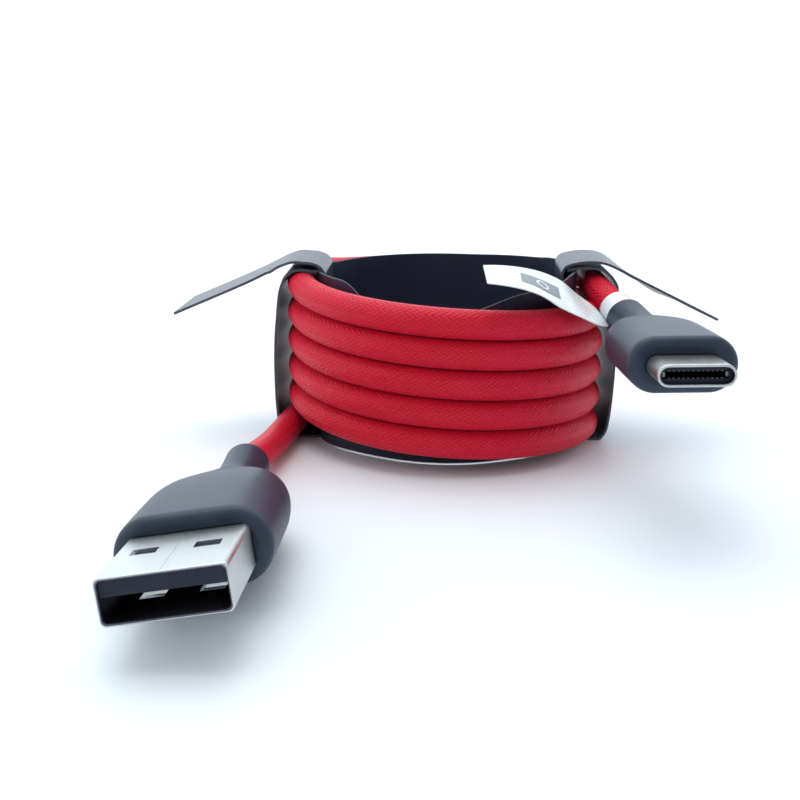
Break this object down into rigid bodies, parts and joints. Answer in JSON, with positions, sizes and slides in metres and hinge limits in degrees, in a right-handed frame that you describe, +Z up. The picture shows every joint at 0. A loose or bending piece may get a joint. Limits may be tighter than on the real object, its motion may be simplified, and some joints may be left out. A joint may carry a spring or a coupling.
{
  "type": "charging cable",
  "caption": "USB-A to USB-C charging cable: a red braided cord wound on a black card collar with two strap tabs, and a white label folded round the cord.",
  "frame": {"origin": "on the card collar's axis, on the surface that the collar stands on", "axes": "+Z up along the collar's axis, +X from the left strap to the right strap, and both plugs point towards -Y"},
  "size_m": [0.0764, 0.1019, 0.0283],
  "materials": {
    "red_braid": "polyester braid in a herringbone",
    "black_card": "matte black printed card",
    "white_label": "glossy white film label",
    "soft_overmold": "soft-touch dark elastomer",
    "nickel_plate": "drawn steel, nickel plated",
    "dark_plastic": "moulded plastic, dark blue-black",
    "contact_gold": "gold-plated copper alloy",
    "inner_mould": "milky moulded polyethylene",
    "circuit_board": "green solder mask",
    "resistor_black": "black ceramic chip",
    "red_wire": "extruded insulation",
    "white_wire": "extruded insulation",
    "green_wire": "extruded insulation",
    "black_wire": "extruded insulation"
  },
  "bodies": {
    "cable_and_collar": {"cord_coil": "red_braid", "usb_a_tail": "red_braid", "usb_c_tail": "red_braid", "usb_a_cord_end": "red_braid", "usb_c_cord_end": "red_braid", "collar_ring": "black_card", "left_strap": "black_card", "right_strap": "black_card", "usb_a_overmold": "soft_overmold", "usb_a_strain_relief": "soft_overmold", "usb_a_shell": "nickel_plate", "usb_a_insulator": "dark_plastic", "usb_a_vbus_contact": "contact_gold", "usb_a_data_minus_contact": "contact_gold", "usb_a_data_plus_contact": "contact_gold", "usb_a_ground_contact": "contact_gold", "usb_a_inner_mould": "inner_mould", "usb_a_crimp_ring": "nickel_plate", "usb_a_red_wire": "red_wire", "usb_a_white_wire": "white_wire", "usb_a_green_wire": "green_wire", "usb_a_black_wire": "black_wire", "usb_c_overmold": "soft_overmold", "usb_c_strain_relief": "soft_overmold", "usb_c_shell": "nickel_plate", "usb_c_insulator": "dark_plastic", "usb_c_upper_contacts": "contact_gold", "usb_c_lower_contacts": "contact_gold", "usb_c_latch_plate": "nickel_plate", "usb_c_paddle_board": "circuit_board", "usb_c_pull_up_resistor": "resistor_black", "usb_c_shield_can": "nickel_plate", "usb_c_inner_mould": "inner_mould", "usb_c_crimp_ring": "nickel_plate", "usb_c_red_wire": "red_wire", "usb_c_white_wire": "white_wire", "usb_c_green_wire": "green_wire", "usb_c_black_wire": "black_wire"},
    "left_tab": {"left_tab": "black_card"},
    "right_tab": {"right_tab": "black_card"},
    "label": {"label": "white_label"}
  },
  "joints": [
    {"name": "left_tab_fold", "type": "hinge", "parent": "cable_and_collar", "child": "left_tab", "pos_m": [-0.0169, 0, 0.024], "axis": [0, 1, 0], "range_deg": [0, 110]},
    {"name": "right_tab_fold", "type": "hinge", "parent": "cable_and_collar", "child": "right_tab", "pos_m": [0.01625, 0.0015, 0.0242], "axis": [0, -1, 0], "range_deg": [0, 110]},
    {"name": "label_swing", "type": "hinge", "parent": "cable_and_collar", "child": "label", "pos_m": [0.0236, -0.00854, 0.02001], "axis": [-0.3857, 0.8663, 0.3173], "range_deg": [0, 60]}
  ]
}
